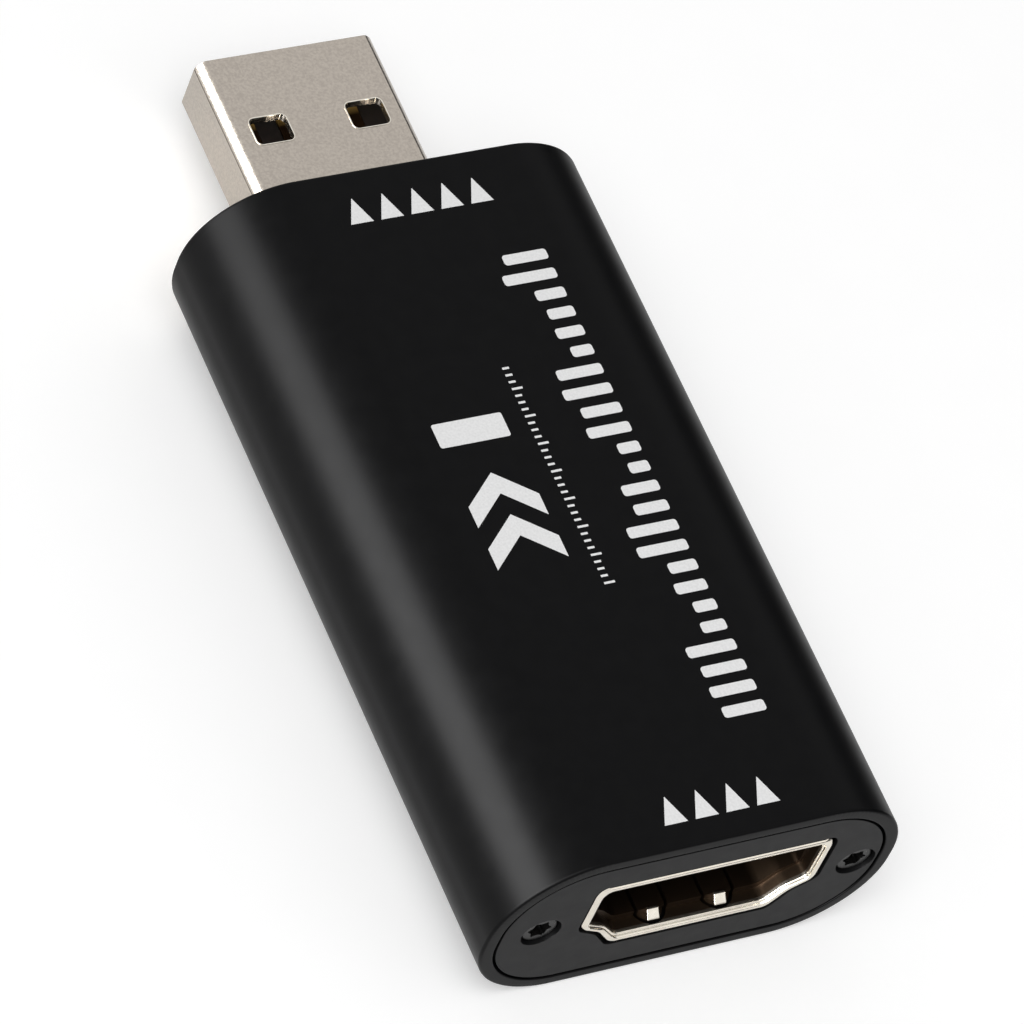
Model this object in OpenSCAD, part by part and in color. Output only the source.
// Video capture stick: an extruded sleeve closed by two screwed end plates, around a circuit board
// that carries a 19-contact video socket at the input end and a 4-contact data plug at the output end.
// X runs across the stick, +Y points out of the data plug, +Z is up, and the stick rests on z = 0.

/* [Sleeve] */
// Width of the sleeve
body_w = 26.6; // [26:0.1:32]
// Height of the sleeve
body_h = 13.2; // [12.8:0.1:16]
// Length of the sleeve
body_l = 48.8; // [47:0.2:70]
// Outside radius of the sleeve's long edges
corner_r = 6.2; // [5.6:0.1:6.4]
// Wall of the sleeve
wall = 0.85; // [0.8:0.05:1.2]
// Edge break round both mouths of the sleeve
mouth_chamfer = 0.2; // [0.1:0.05:0.4]

/* [End plates] */
// Thickness of an end plate
plate_t = 1.6; // [1.4:0.1:2.2]
// Depth of an end plate below the sleeve's mouth
plate_recess = 0.15; // [0:0.05:0.4]
// Gap all round between an end plate and the sleeve
plate_gap = 0.1; // [0.05:0.05:0.2]

/* [Screws] */
// Distance from the side of the sleeve to a screw's axis
screw_inset = 3; // [2.9:0.1:3.2]
// Sideways place of each pair of screws from the middle of the sleeve
screw_mid_x = 0.6; // [0:0.1:0.7]
// Diameter of a screw's head
screw_head_d = 2.3; // [2.1:0.1:2.4]
// Height of a screw's head
screw_head_h = 0.9; // [0.7:0.05:1]
// Diameter of a screw's shank
screw_d = 1.4; // [1.2:0.1:1.6]
// Length of a screw's shank below its head
screw_l = 6; // [4:0.5:9]
// Gap round a screw's head in its counterbore
screw_head_gap = 0.1; // [0.05:0.05:0.15]
// Gap round a screw's shank
screw_gap = 0.05; // [0.03:0.01:0.1]

/* [Circuit board] */
// Thickness of the board
board_t = 1.2; // [0.8:0.1:1.4]
// Height of the board's upper face above the table
board_top = 4; // [3.6:0.1:4.4]
// How far the guides reach over the board's edges
guide_reach = 0.9; // [0.6:0.1:1.2]
// Gap between the board and the guides above it
guide_gap = 0.1; // [0.05:0.05:0.2]
// Gap between the board and each end plate
board_end_gap = 0.3; // [0.1:0.1:0.6]

/* [Video socket] */
// Widest part of the socket's mouth
socket_w = 14; // [13.9:0.05:14.2]
// Height of the socket's mouth
socket_h = 4.55; // [4.5:0.05:4.7]
// Narrow floor of the socket's mouth
socket_floor_w = 9.5; // [9.3:0.1:10]
// Sheet of the socket's shell
socket_sheet = 0.45; // [0.3:0.05:0.5]
// Reach of the lip beyond the shell at the sides of the mouth
lip_side = 0.25; // [0.15:0.05:0.35]
// Reach of the lip beyond the shell above and below the mouth
lip_top = 0.55; // [0.3:0.05:0.65]
// Depth of the socket's shell
socket_l = 11.2; // [10.5:0.1:13]
// Sideways place of the socket from the middle of the sleeve
socket_x = 0.8; // [0:0.1:0.9]
// Distance from the mouth to the tip of the contact tongue
tongue_setback = 2; // [1.8:0.1:2.6]
// Gap round the socket in its end plate
socket_gap = 0.2; // [0.1:0.05:0.25]

/* [Data plug] */
// Width of the plug's shell
plug_w = 12; // [11.9:0.05:12.1]
// Height of the plug's shell
plug_h = 4.5; // [4.4:0.05:4.6]
// Sheet of the plug's shell
plug_sheet = 0.3; // [0.25:0.05:0.4]
// Bend radius on the outside of the plug's shell
plug_bend_r = 0.6; // [0.5:0.05:0.8]
// Length of the plug outside the sleeve
plug_out = 13.8; // [12.5:0.1:16]
// Length of the plug inside the sleeve
plug_in = 5; // [4.6:0.1:7]
// Depth of the plug's underside below the board's upper face
plug_sink = 1.6; // [1.5:0.05:1.8]
// Sideways place of the plug from the middle of the sleeve
plug_x = -0.5; // [-0.8:0.1:0.8]
// Width of a latch window
window_w = 2.5; // [2.2:0.1:2.8]
// Length of a latch window
window_l = 2; // [1.6:0.1:2.4]
// Distance between the middles of two latch windows
window_pitch = 6.5; // [6:0.1:7]
// Distance from the plug's tip to a latch window
window_setback = 4.75; // [4.4:0.05:5.4]
// Gap round the plug in its end plate
plug_gap = 0.15; // [0.1:0.05:0.25]

/* [Hidden] */
$fn = 64;
overlap = 0.15;          // how far joined features of one piece run into each other
cut = 1;                 // how far a cutter runs past what it cuts
fit_gap = 0.03;          // moulded piece in its shell, contact in its groove

// Places along the stick
overall_l = body_l + plug_out;
front_y = -overall_l / 2;
back_y = front_y + body_l;
tip_y = back_y + plug_out;
plate_depth = plate_recess + plate_t;

// The hollow of the sleeve, and the screw channels in it
mid_z = body_h / 2;
cavity_half_w = body_w / 2 - wall;
cavity_r = corner_r - wall;
cavity_corner_x = body_w / 2 - corner_r;
cavity_corner_z = corner_r;
screw_x = body_w / 2 - screw_inset;
channel_slot = screw_d / 2;
channel_bore_r = screw_d / 2 + screw_gap;
channel_wall = 1.1;
channel_r = channel_bore_r + channel_wall;

// Screw heads and their counterbores
screw_head_sink = 0.1;
head_bore_r = screw_head_d / 2 + screw_head_gap;
head_bore_depth = screw_head_h + screw_head_sink;
lobe_r = screw_head_d * 0.075;
lobe_ring_r = screw_head_d * 0.235;
recess_depth = screw_head_h * 0.6;

// The board lies on two ledges, just clear of the curved wall beside its lower edges
board_z = board_top - board_t;
board_side_gap = 0.25;
board_half_w = cavity_corner_x + sqrt(pow(cavity_r, 2) - pow(cavity_corner_z - board_z, 2)) - board_side_gap;
guide_x = board_half_w - guide_reach;
guide_z = board_top + guide_gap;
guide_t = 0.8;
board_front_y = front_y + plate_depth + board_end_gap;
board_back_y = back_y - plate_depth - board_end_gap;
board_mid_y = (board_front_y + socket_l + board_back_y - plug_in) / 2;

// The socket's mouth is wide at the top and steps in to a narrow floor
// Each corner's arc overlaps the edges beside it a little, so the shell stands on its arcs
arc_overlap = 0.001;
socket_z = board_top + socket_sheet + arc_overlap;
socket_side_z = 1.6;
shoulder_inset = 1.25;
shoulder_z = 1.05;
socket_shoulder = [socket_w / 2 - shoulder_inset, shoulder_z];
socket_round = 0.55;
socket_hollow = 1.8;
mouth = [
    [-socket_floor_w / 2, 0],
    [socket_floor_w / 2, 0],
    socket_shoulder,
    [socket_w / 2, socket_side_z],
    [socket_w / 2, socket_h],
    [-socket_w / 2, socket_h],
    [-socket_w / 2, socket_side_z],
    [-socket_shoulder[0], socket_shoulder[1]]
];
lip_spread = [1 + 2 * (socket_sheet + lip_side) / socket_w, 1 + 2 * (socket_sheet + lip_top) / socket_h];
lip_shift = [0, socket_h / 2];
lip = [for (p = mouth) [p[0] * lip_spread[0], (p[1] - lip_shift[1]) * lip_spread[1] + lip_shift[1]]];
lip_round = 1;
lip_t = 0.3;
lead = 0.36;
lead_l = 0.5;
leg_w = 1.2;
leg_below_board = 0.6;
leg_gap = 0.15;
leg_setbacks = [3.2, 8.8];

// Springs in the socket's floor and roof
spring_x = 2.2;
spring_w = 1.8;
spring_l = 4.2;
spring_slot = 0.22;
spring_setback = 0.55;
spring_bump_w = 0.7;
spring_bump = [[0.08, 0], [0.6, 0.42], [0.9, 0.42], [1.6, 0]];

// The socket's contact tongue and its contacts
tongue_w = 11.2;
tongue_t = 1.2;
tongue_rise = 2.35;
tongue_z = socket_z + tongue_rise;
insulator_setback = 6.8;
insulator_y = front_y + insulator_setback;
insulator_l = socket_l - insulator_setback;
pin_pitch = 1;
pin_w = 0.32;
pin_t = 0.2;
pin_proud = 0.06;
pin_setback = 0.5;
pin_drop_gap = 0.15;
pin_foot_l = 0.9;
upper_pins = 10;
lower_pins = 9;

// The plug's shell, tongue and contacts
plug_z = board_top - plug_sink;
plug_shell_y = back_y - plug_in;
plug_l = plug_out + plug_in;
seam_w = 0.08;
window_round = 0.35;
wing_w = 1.6;
wing_l = 2.2;
wing_leg_l = 1.2;
plug_floor_z = plug_z + plug_sheet;
plug_tongue_t = 1.9;
plug_tongue_setback = 0.5;
plug_block_setback = 0.8;
plug_block_l = plug_in - plug_block_setback;
blade_x = [-3.5, -1, 1, 3.5];
blade_setback = [1.2, 2.2, 2.2, 1.2];
blade_w = 1;
blade_t = 0.25;
blade_proud = 0.06;
blade_foot_l = 1.6;

// Parts soldered to the board: places from the board's middle, x then y, and whether they lie lengthwise
chip_side = 9;
chip_h = 0.85;
chip_pads = 16;
chip_pad_pitch = 0.5;
chip_bevel = 0.6;
chip_dot_inset = 1.2;
chip_dot_r = 0.35;
chip_dot_depth = 0.1;
capacitor_size = [1, 0.5, 0.5];
capacitor_x = chip_side / 2 + 1.5;
capacitor_y = chip_side / 2 + 1.1;
capacitor_pitch = 1.8;
capacitor_shift = 0.6;
end_capacitor_pitch = 1.6;
capacitor_spots = [
    for (x = [-capacitor_x, capacitor_x], i = [-2:2]) [x, capacitor_shift + capacitor_pitch * i, 0],
    for (i = [-1.5:1.5]) [end_capacitor_pitch * i, capacitor_y, 1]
];
resistor_size = [1, 0.5, 0.35];
resistor_y = -chip_side / 2 - 1.3;
resistor_pitch = 1.4;
edge_resistor_x = 2.85 - board_half_w;
edge_resistor_y = 2.4;
edge_resistor_pitch = 2;
resistor_spots = [
    for (i = [-2.5:2.5]) [resistor_pitch * i, resistor_y, 1],
    for (i = [-0.5, 0.5]) [edge_resistor_x, edge_resistor_y + edge_resistor_pitch * i, 1]
];
bulk_size = [2, 1.25, 1.25];
bulk_inset = 3.85;
bulk_y = 7.4;
bulk_pitch = 2;
bulk_spots = [for (i = [-0.5, 0.5]) [board_half_w - bulk_inset, bulk_y + bulk_pitch * i, 0]];
bead_size = [1.6, 0.8, 0.8];
bead_x = -1.15;
bead_y = 9.4;
bead_pitch = 1.5;
bead_spots = [for (i = [-0.5, 0.5]) [bead_x + bead_pitch * i, bead_y, 1]];
array_size = [2.5, 1, 0.6];
array_y = -8.6;
array_pitch = 3;
array_spots = [for (i = [-1.5:1.5]) [array_pitch * i, array_y, 0]];
memory_size = [3.9, 4.9, 1.4];
memory_lead_pitch = 1.27;
memory_clear = 3.15;
memory_spot = [-memory_clear - memory_size[1] / 2, 8.4];
regulator_size = [1.6, 2.9, 1.1];
regulator_lead_pitch = 0.95;
regulator_spot = [2.4, 9];
crystal_size = [3.2, 2.5, 0.75];
crystal_inset = 2.85;
crystal_spot = [board_half_w - crystal_inset, -6.2];
end_cap = 0.22;
lead_t = 0.2;
lead_w = 0.4;
lead_root = 0.3;
lead_bend = 0.35;
lead_reach = 0.9;
stand_off = 0.1;

// Shared shapes

// A flat outline in x and z, drawn out along y
module along_y(y, length) {
    translate([0, y + length, 0]) rotate([90, 0, 0]) linear_extrude(height = length) children();
}

// A flat outline in y and z, drawn out along x, centred
module across_x(width) {
    rotate([90, 0, 90]) linear_extrude(height = width, center = true) children();
}

// A rectangle about the origin with true round corners
module rounded_rect(w, h, r) {
    square([w - 2 * r, h], center = true);
    square([w, h - 2 * r], center = true);
    for (x = [-1, 1], z = [-1, 1]) translate([x * (w / 2 - r), z * (h / 2 - r)]) circle(r);
}

// The sleeve's section, moved inwards by an inset
module body_outline(inset) {
    translate([0, mid_z]) rounded_rect(body_w - 2 * inset, body_h - 2 * inset, corner_r - inset);
}

// Outward normals of the two edges at a corner, going round anticlockwise
function edge_normal(a, b) = [b[1] - a[1], a[0] - b[0]] / norm(b - a);
function normal_in(points, i) = edge_normal(points[(i + len(points) - 1) % len(points)], points[i]);
function normal_out(points, i) = edge_normal(points[i], points[(i + 1) % len(points)]);
function bulges(points, i) = cross(normal_in(points, i), normal_out(points, i)) > 0;

// Middle of the arc at a corner; a hollow corner has a negative radius
function arc_middle(points, i, r) = points[i] - r * (normal_in(points, i) + normal_out(points, i))
    / (1 + normal_in(points, i) * normal_out(points, i));

// A polygon whose bulging and hollow corners are true arcs, moved outwards by grow
module rounded_polygon(points, round_r, hollow_r, grow) {
    corners = [for (i = [0:len(points) - 1]) i];
    radius = [for (i = corners) bulges(points, i) ? round_r : -hollow_r];
    middle = [for (i = corners) arc_middle(points, i, radius[i])];
    difference() {
        union() {
            polygon([for (i = corners, n = [normal_in(points, i), normal_out(points, i)])
                middle[i] + (radius[i] + grow) * n]);
            for (i = corners) if (radius[i] > 0) translate(middle[i]) circle(radius[i] + grow + arc_overlap);
        }
        for (i = corners) if (radius[i] < 0) translate(middle[i]) circle(-radius[i] - grow + arc_overlap);
    }
}

// The mouth of the socket and its lip, at their place in the end face
module socket_outline(grow) {
    translate([socket_x, socket_z]) rounded_polygon(mouth, socket_round, socket_hollow, grow);
}
module lip_outline(grow) {
    translate([socket_x, socket_z]) rounded_polygon(lip, lip_round, socket_hollow, grow);
}

// The plug's section, moved inwards by an inset
module plug_outline(inset) {
    translate([plug_x, plug_z + plug_h / 2])
        rounded_rect(plug_w - 2 * inset, plug_h - 2 * inset, max(plug_bend_r - inset, 0.1));
}

// Places its children at both screws of one end, with z running into the stick from the plate's face
module at_screws(y, turn) {
    for (side = [-1, 1]) translate([screw_mid_x + side * screw_x, y, mid_z]) rotate([turn, 0, 0]) children();
}
module at_input_screws() { at_screws(front_y + plate_recess, -90) children(); }
module at_output_screws() { at_screws(back_y - plate_recess, 90) children(); }

// Places its children on the board at listed spots, turned lengthwise where the spot says so
module on_board(spots) {
    for (s = spots) translate([s[0], board_mid_y + s[1], board_top]) rotate([0, 0, 90 * s[2]]) children();
}

// Sleeve

// One layer at a mouth of the sleeve, narrowing by the edge break
module mouth_layer() {
    c = mouth_chamfer;
    flat_w = body_w - 2 * corner_r;
    flat_h = body_h - 2 * corner_r;
    for (x = [-1, 1], z = [-1, 1])
        translate([x * flat_w / 2, z * flat_h / 2, 0]) cylinder(h = c, r1 = corner_r, r2 = corner_r - c);
    rotate([90, 0, 90]) linear_extrude(height = flat_w, center = true)
        polygon([[-body_h / 2, 0], [body_h / 2, 0], [body_h / 2 - c, c], [c - body_h / 2, c]]);
    rotate([90, 0, 0]) linear_extrude(height = flat_h, center = true)
        polygon([[-body_w / 2, 0], [body_w / 2, 0], [body_w / 2 - c, c], [c - body_w / 2, c]]);
}

// The outside of the sleeve as a solid block
module sleeve_block() {
    along_y(front_y + mouth_chamfer, body_l - 2 * mouth_chamfer) body_outline(0);
    translate([0, front_y + mouth_chamfer, mid_z]) rotate([90, 0, 0]) mouth_layer();
    translate([0, back_y - mouth_chamfer, mid_z]) rotate([-90, 0, 0]) mouth_layer();
}

// Screw channels, each on a web that stands on a board guide, cut back at both ends to seat the end plates
module sleeve_ribs() {
    intersection() {
        along_y(front_y + plate_depth, body_l - 2 * plate_depth) {
            for (side = [0, 1]) mirror([side, 0]) {
                axis_x = screw_x + (1 - 2 * side) * screw_mid_x;
                difference() {
                    union() {
                        translate([axis_x, mid_z]) circle(channel_r);
                        translate([axis_x, guide_z]) square([cavity_half_w - axis_x, mid_z - guide_z]);
                    }
                    translate([axis_x, mid_z]) circle(channel_bore_r);
                    translate([axis_x - 2 * channel_r, mid_z - channel_slot / 2])
                        square([2 * channel_r, channel_slot]);
                }
                translate([guide_x, guide_z]) square([cavity_half_w - guide_x, guide_t]);
                translate([guide_x, 0]) square([cavity_half_w - guide_x, board_z]);
            }
        }
        along_y(front_y, body_l) body_outline(wall - overlap);
    }
}

module sleeve() {
    color("#161616") {
        difference() {
            sleeve_block();
            along_y(front_y - cut, body_l + 2 * cut) body_outline(wall);
        }
        sleeve_ribs();
    }
}

// End plates and screws

// A plate that drops into a mouth of the sleeve, with two counterbored screw holes
module plate_blank(y) {
    along_y(y, plate_t) body_outline(wall + plate_gap);
}
module plate_holes() {
    translate([0, 0, -cut]) cylinder(h = plate_t + 2 * cut, r = channel_bore_r + screw_gap);
    translate([0, 0, -cut]) cylinder(h = head_bore_depth + cut, r = head_bore_r);
}

module input_plate() {
    color("#2c2c2c") difference() {
        plate_blank(front_y + plate_recess);
        along_y(front_y - cut, plate_depth + 2 * cut) lip_outline(socket_gap);
        at_input_screws() plate_holes();
    }
}

module output_plate() {
    color("#2c2c2c") difference() {
        plate_blank(back_y - plate_depth);
        along_y(back_y - plate_depth - cut, plate_depth + 2 * cut) plug_outline(-plug_gap);
        at_output_screws() plate_holes();
    }
}

// A flat-headed screw with a six-lobe recess; z runs from its head into the stick
module screw() {
    edge = 0.15;
    difference() {
        translate([0, 0, screw_head_sink]) {
            cylinder(h = edge, r1 = screw_head_d / 2 - edge, r2 = screw_head_d / 2);
            translate([0, 0, edge]) cylinder(h = screw_head_h - edge, r = screw_head_d / 2);
            cylinder(h = screw_head_h + screw_l, r = screw_d / 2);
        }
        translate([0, 0, screw_head_sink - cut]) linear_extrude(height = recess_depth + cut) {
            circle(lobe_ring_r);
            for (a = [0:60:300]) rotate(a) translate([lobe_ring_r, 0]) circle(lobe_r);
        }
    }
}

module input_screws() { color("#202020") at_input_screws() screw(); }
module output_screws() { color("#202020") at_output_screws() screw(); }

// Circuit board

module circuit_board() {
    notch_w = plug_w + 2 * plug_gap;
    color("#15181a") difference() {
        translate([-board_half_w, board_front_y, board_z])
            cube([2 * board_half_w, board_back_y - board_front_y, board_t]);
        translate([plug_x - notch_w / 2, plug_shell_y - plug_gap, board_z - cut])
            cube([notch_w, plug_in + cut, board_t + 2 * cut]);
        socket_legs(leg_gap);
        wing_legs(leg_gap);
    }
}

// Parts on the board

module capture_chip() {
    h = chip_side / 2;
    color("#151515") translate([0, board_mid_y, board_top + stand_off]) difference() {
        linear_extrude(height = chip_h)
            polygon([[-h, -h], [h, -h], [h, h], [chip_bevel - h, h], [-h, h - chip_bevel]]);
        translate([chip_dot_inset - h, h - chip_dot_inset, chip_h - chip_dot_depth])
            cylinder(h = cut, r = chip_dot_r);
    }
}

// Solder lands on all four sides of the chip, filling the gap beneath its rim
module chip_leads() {
    land = [0.25, 0.5, stand_off];
    color("silver") translate([0, board_mid_y, board_top]) for (side = [0:90:270]) rotate(side)
        for (i = [0:chip_pads - 1])
            translate([(i - (chip_pads - 1) / 2) * chip_pad_pitch - land[0] / 2, chip_side / 2 - land[1], 0])
                cube(land);
}

// A moulded package on gull-wing leads, given the leads' places along its left and right sides
module leaded_package(size, left, right) {
    w = size[0] / 2;
    top = size[2] / 2;
    foot = [
        [w - lead_root, top], [w + lead_bend, top], [w + lead_bend, lead_t], [w + lead_reach, lead_t],
        [w + lead_reach, 0], [w + lead_bend - lead_t, 0], [w + lead_bend - lead_t, top - lead_t],
        [w - lead_root, top - lead_t]
    ];
    color("#171717") translate([-w, -size[1] / 2, stand_off]) cube([size[0], size[1], size[2] - stand_off]);
    color("silver") {
        for (y = right) translate([0, y, 0]) rotate([90, 0, 0])
            linear_extrude(height = lead_w, center = true) polygon(foot);
        for (y = left) mirror([1, 0, 0]) translate([0, y, 0]) rotate([90, 0, 0])
            linear_extrude(height = lead_w, center = true) polygon(foot);
    }
}

module memory_chip() {
    rows = [for (i = [-1.5:1:1.5]) i * memory_lead_pitch];
    on_board([[memory_spot[0], memory_spot[1], 1]]) leaded_package(memory_size, rows, rows);
}

module voltage_regulator() {
    step = regulator_lead_pitch;
    on_board([[regulator_spot[0], regulator_spot[1], 0]])
        leaded_package(regulator_size, [-step, step], [-step, 0, step]);
}

module crystal() {
    rim = 0.25;
    base_h = 0.35;
    color("silver") on_board([[crystal_spot[0], crystal_spot[1], 1]]) {
        translate([-crystal_size[0] / 2, -crystal_size[1] / 2, 0])
            cube([crystal_size[0], crystal_size[1], base_h]);
        linear_extrude(height = crystal_size[2])
            rounded_rect(crystal_size[0] - 2 * rim, crystal_size[1] - 2 * rim, 0.3);
    }
}

// A small block with raised metal caps on both ends
module two_terminal(size, body_colour) {
    inset = 0.03;
    color(body_colour) translate([-size[0] / 2 + end_cap, inset - size[1] / 2, 0])
        cube([size[0] - 2 * end_cap, size[1] - 2 * inset, size[2] - inset]);
    color("silver") for (side = [-1, 1]) translate([side * (size[0] - end_cap) / 2, 0, size[2] / 2])
        cube([end_cap, size[1], size[2]], center = true);
}

module chip_capacitors() { on_board(capacitor_spots) two_terminal(capacitor_size, "#b08a5a"); }
module bulk_capacitors() { on_board(bulk_spots) two_terminal(bulk_size, "#a37b4a"); }
module chip_resistors() { on_board(resistor_spots) two_terminal(resistor_size, "#222222"); }
module ferrite_beads() { on_board(bead_spots) two_terminal(bead_size, "#4a4a4a"); }

module surge_arrays() {
    color("#1a1a1a") on_board(array_spots)
        translate([-array_size[0] / 2, -array_size[1] / 2, 0]) cube(array_size);
}

// Video socket

// The shell's legs, or the slots for them when given a gap
module socket_legs(gap) {
    for (side = [-1, 1], y = leg_setbacks)
        translate([socket_x + side * (socket_w / 2 + socket_sheet / 2) - socket_sheet / 2 - gap,
            front_y + y - gap, board_z - leg_below_board - gap])
            cube([socket_sheet + 2 * gap, leg_w + 2 * gap,
                socket_z + socket_side_z + overlap - board_z + leg_below_board + 2 * gap]);
}

// The outline of one spring finger in the sheet, widened by grow, with its free end towards the mouth
module spring_finger(grow) {
    translate([0, spring_w / 2]) circle(spring_w / 2 + grow);
    translate([-spring_w / 2 - grow, spring_w / 2]) square([spring_w + 2 * grow, spring_l - spring_w / 2]);
}

// Both springs of the floor or the roof, seen from inside the socket with z towards its middle
module at_springs() {
    for (side = [-1, 1], roof = [0, 1])
        translate([socket_x + side * spring_x, front_y + spring_setback, socket_z + roof * socket_h])
            mirror([0, 0, roof]) children();
}

module spring_slots() {
    at_springs() translate([0, 0, -socket_sheet - cut / 4]) linear_extrude(height = socket_sheet + cut / 2)
        difference() {
            spring_finger(spring_slot);
            spring_finger(0);
        }
}

// A slope that widens the mouth at its floor or its roof
module lead_in(z, roof, width) {
    translate([socket_x, front_y, z]) mirror([0, 0, roof]) across_x(width)
        polygon([[-lead_l, -2 * lead], [lead_l, 0], [lead_l, overlap], [-lead_l, overlap]]);
}

module socket_shell() {
    color("#d8d5cc") {
        difference() {
            union() {
                along_y(front_y, socket_l) socket_outline(socket_sheet);
                along_y(front_y, lip_t) lip_outline(0);
                socket_legs(0);
            }
            along_y(front_y - cut, socket_l + 2 * cut) socket_outline(0);
            lead_in(socket_z, 0, socket_floor_w - 2 * socket_round);
            lead_in(socket_z + socket_h, 1, socket_w - 2 * socket_round);
            spring_slots();
        }
        at_springs() across_x(spring_bump_w) polygon(spring_bump);
    }
}

module socket_insulator() {
    color("#1b1613") difference() {
        union() {
            along_y(insulator_y, insulator_l) socket_outline(-fit_gap);
            translate([socket_x - tongue_w / 2, front_y + tongue_setback, tongue_z - tongue_t / 2])
                cube([tongue_w, insulator_y - front_y - tongue_setback + overlap, tongue_t]);
        }
        socket_pin_row(upper_pins, 1, fit_gap);
        socket_pin_row(lower_pins, -1, fit_gap);
    }
}

// One contact in y and z: along the tongue, down behind the insulator, and out along the board
module socket_pin(face, gap) {
    tip_y = front_y + tongue_setback + pin_setback;
    drop_y = front_y + socket_l + pin_drop_gap;
    top_z = tongue_z + face * (tongue_t / 2 + pin_proud) + (face > 0 ? 0 : pin_t);
    polygon([
        [tip_y - gap, top_z + gap], [drop_y + pin_t + gap, top_z + gap],
        [drop_y + pin_t + gap, board_top + pin_t], [drop_y + pin_foot_l, board_top + pin_t],
        [drop_y + pin_foot_l, board_top], [drop_y - gap, board_top],
        [drop_y - gap, top_z - pin_t - gap], [tip_y - gap, top_z - pin_t - gap]
    ]);
}

// A row of contacts on the upper or lower face of the tongue, or the grooves for it when given a gap
module socket_pin_row(count, face, gap) {
    for (i = [0:count - 1]) translate([socket_x + (i - (count - 1) / 2) * pin_pitch, 0, 0])
        across_x(pin_w + 2 * gap) socket_pin(face, gap);
}

module socket_upper_contacts() { color("#c9a24a") socket_pin_row(upper_pins, 1, 0); }
module socket_lower_contacts() { color("#c9a24a") socket_pin_row(lower_pins, -1, 0); }

// Data plug

// Legs under the shell's two wings, or the slots for them when given a gap
module wing_legs(gap) {
    for (side = [-1, 1])
        translate([plug_x + side * (plug_w / 2 + wing_w - plug_sheet / 2) - plug_sheet / 2 - gap,
            plug_shell_y + (wing_l - wing_leg_l) / 2 - gap, board_z - leg_below_board - gap])
            cube([plug_sheet + 2 * gap, wing_leg_l + 2 * gap, board_t + leg_below_board + overlap + 2 * gap]);
}

module plug_windows() {
    for (side = [-1, 1])
        translate([plug_x + side * window_pitch / 2, tip_y - window_setback - window_l / 2, plug_z - cut])
            linear_extrude(height = plug_h + 2 * cut) rounded_rect(window_w, window_l, window_round);
}

module plug_shell() {
    color("#c4beb6") {
        difference() {
            along_y(plug_shell_y, plug_l) plug_outline(0);
            along_y(plug_shell_y - cut, plug_l + 2 * cut) plug_outline(plug_sheet);
            plug_windows();
            translate([plug_x - seam_w / 2, plug_shell_y - cut, plug_z - cut])
                cube([seam_w, plug_l + 2 * cut, plug_sheet + cut + overlap]);
        }
        for (side = [0, 1]) translate([plug_x, plug_shell_y, board_top]) mirror([side, 0, 0])
            translate([plug_w / 2 - plug_sheet, 0, 0]) cube([wing_w + plug_sheet, wing_l, plug_sheet]);
        wing_legs(0);
    }
}

module plug_insulator() {
    color("#1c1814") difference() {
        union() {
            along_y(plug_shell_y, plug_block_l) plug_outline(plug_sheet + fit_gap);
            along_y(plug_shell_y, plug_l - plug_tongue_setback) intersection() {
                plug_outline(plug_sheet + fit_gap);
                translate([plug_x - plug_w / 2, plug_floor_z]) square([plug_w, plug_tongue_t + fit_gap]);
            }
        }
        plug_blades(fit_gap);
    }
}

// One contact in y and z: along the tongue, out behind the plug, and down onto the board
module plug_blade(setback, gap) {
    top_z = plug_floor_z + fit_gap + plug_tongue_t + blade_proud;
    drop_y = plug_shell_y - pin_drop_gap;
    polygon([
        [tip_y - setback + gap, top_z + gap], [drop_y - blade_t - gap, top_z + gap],
        [drop_y - blade_t - gap, board_top + blade_t], [drop_y - blade_foot_l, board_top + blade_t],
        [drop_y - blade_foot_l, board_top], [drop_y + gap, board_top],
        [drop_y + gap, top_z - blade_t - gap], [tip_y - setback + gap, top_z - blade_t - gap]
    ]);
}

// The four contacts, or the grooves for them when given a gap
module plug_blades(gap) {
    for (i = [0:len(blade_x) - 1]) translate([plug_x + blade_x[i], 0, 0])
        across_x(blade_w + 2 * gap) plug_blade(blade_setback[i], gap);
}

module plug_contacts() { color("#c9a24a") plug_blades(0); }

sleeve();
input_plate();
output_plate();
input_screws();
output_screws();
circuit_board();
capture_chip();
chip_leads();
memory_chip();
voltage_regulator();
crystal();
chip_capacitors();
bulk_capacitors();
chip_resistors();
ferrite_beads();
surge_arrays();
socket_shell();
socket_insulator();
socket_upper_contacts();
socket_lower_contacts();
plug_shell();
plug_insulator();
plug_contacts();
